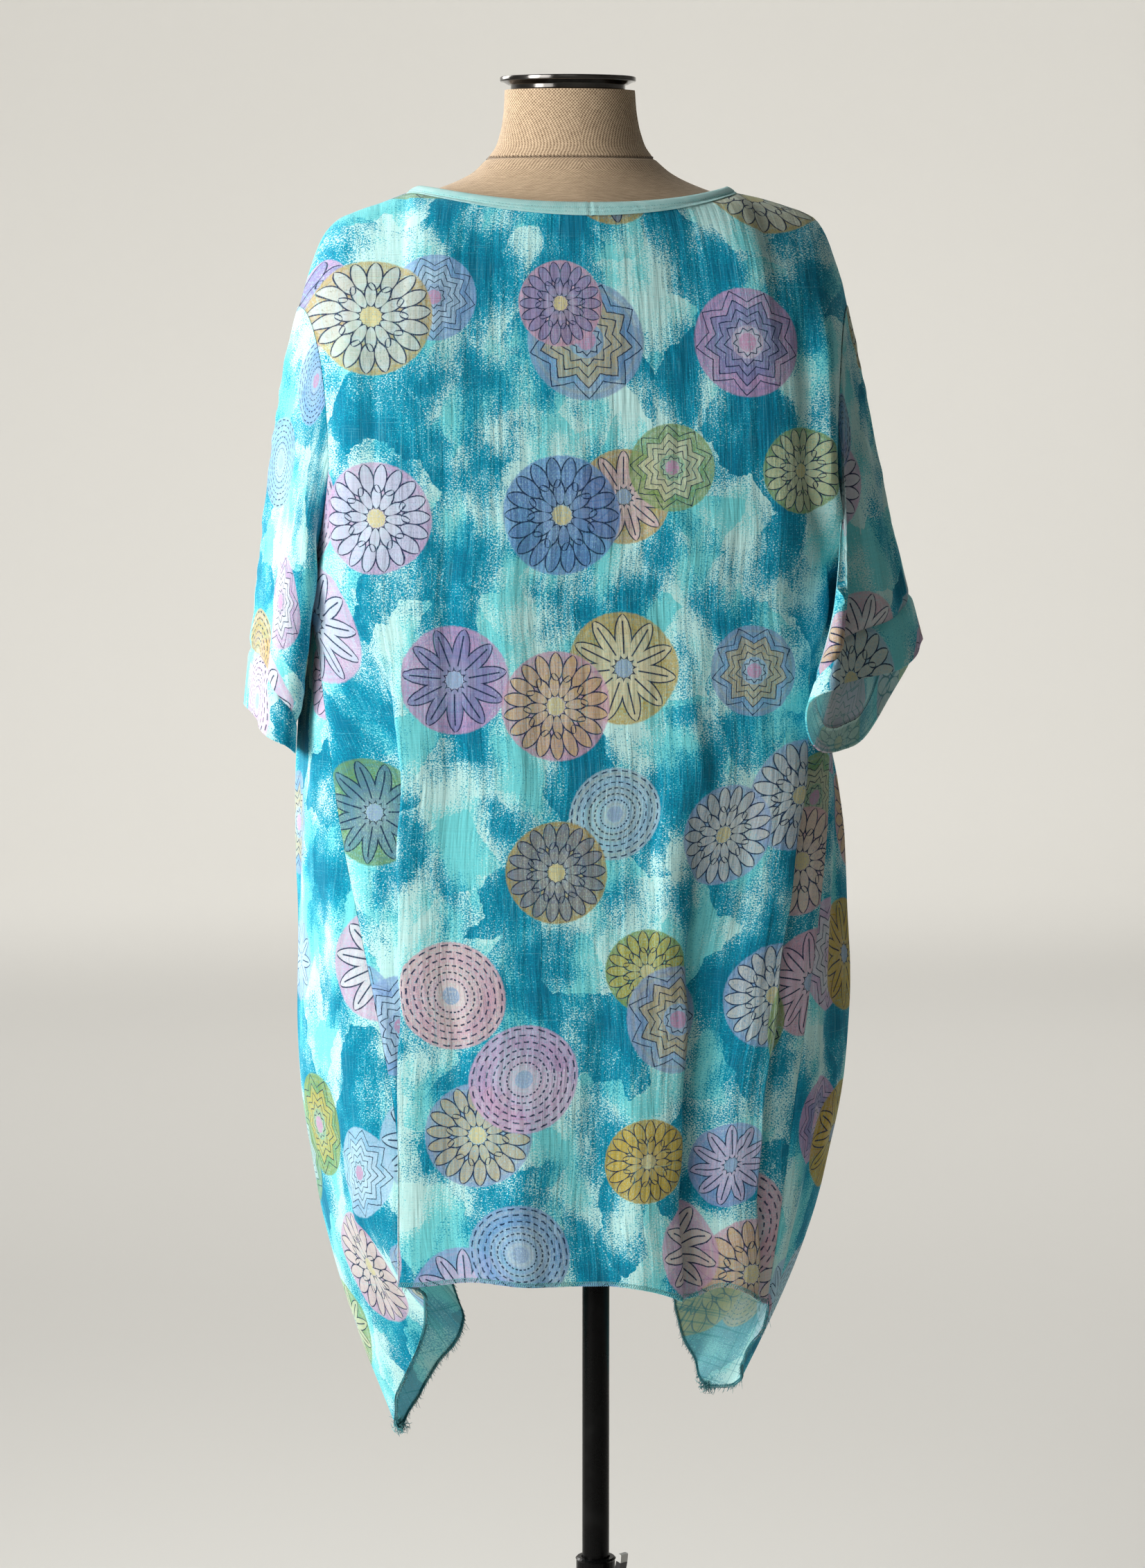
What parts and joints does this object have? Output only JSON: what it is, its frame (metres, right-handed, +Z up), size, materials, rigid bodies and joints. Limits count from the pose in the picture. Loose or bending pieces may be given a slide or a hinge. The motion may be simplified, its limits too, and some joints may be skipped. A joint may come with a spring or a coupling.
{
  "type": "tunic top on a dress form with stand",
  "caption": "Wide short-sleeved tunic top with pointed side panels, worn by a limbless dress form on a height-adjustable pole stand.",
  "frame": {"origin": "middle of the stand base's underside, on the floor, on the pole's axis", "axes": "+Z up; the tunic's front faces -Y and its back +Y, so the wearer's left is +X"},
  "size_m": [0.6192, 0.36, 1.6484],
  "materials": {
    "back": "printed slub cotton",
    "front": "printed slub cotton",
    "side_panel_left": "printed slub cotton",
    "side_panel_right": "printed slub cotton",
    "sleeve_left": "printed slub cotton",
    "sleeve_right": "printed slub cotton",
    "cuff_left": "printed slub cotton",
    "cuff_right": "printed slub cotton",
    "neck_binding": "pale aqua jersey",
    "dress_form": "natural linen",
    "neck_cap": "polished steel",
    "pole": "gloss black",
    "stand_tube": "gloss black",
    "stand_base": "satin black",
    "clamp_bracket": "satin black",
    "clamp_pin": "steel",
    "lever": "satin black",
    "lever_tip": "light grey plastic"
  },
  "bodies": {
    "stand": {"stand_base": "stand_base", "stand_tube": "stand_tube", "clamp_bracket": "clamp_bracket", "clamp_pin": "clamp_pin"},
    "mast": {"pole": "pole", "dress_form": "dress_form", "neck_cap": "neck_cap", "back": "back", "front": "front", "side_panel_left": "side_panel_left", "side_panel_right": "side_panel_right", "sleeve_left": "sleeve_left", "sleeve_right": "sleeve_right", "cuff_left": "cuff_left", "cuff_right": "cuff_right", "neck_binding": "neck_binding"},
    "clamp_lever": {"lever": "lever", "lever_tip": "lever_tip"}
  },
  "joints": [
    {"name": "height_slide", "type": "slide", "parent": "stand", "child": "mast", "axis": [0, 0, 1], "range_m": [-0.06, 0.12]},
    {"name": "clamp_hinge", "type": "hinge", "parent": "stand", "child": "clamp_lever", "pos_m": [-0.01549, 0.02212, 0.266], "axis": [-0.8192, -0.5736, 0], "range_deg": [0, 75]}
  ]
}
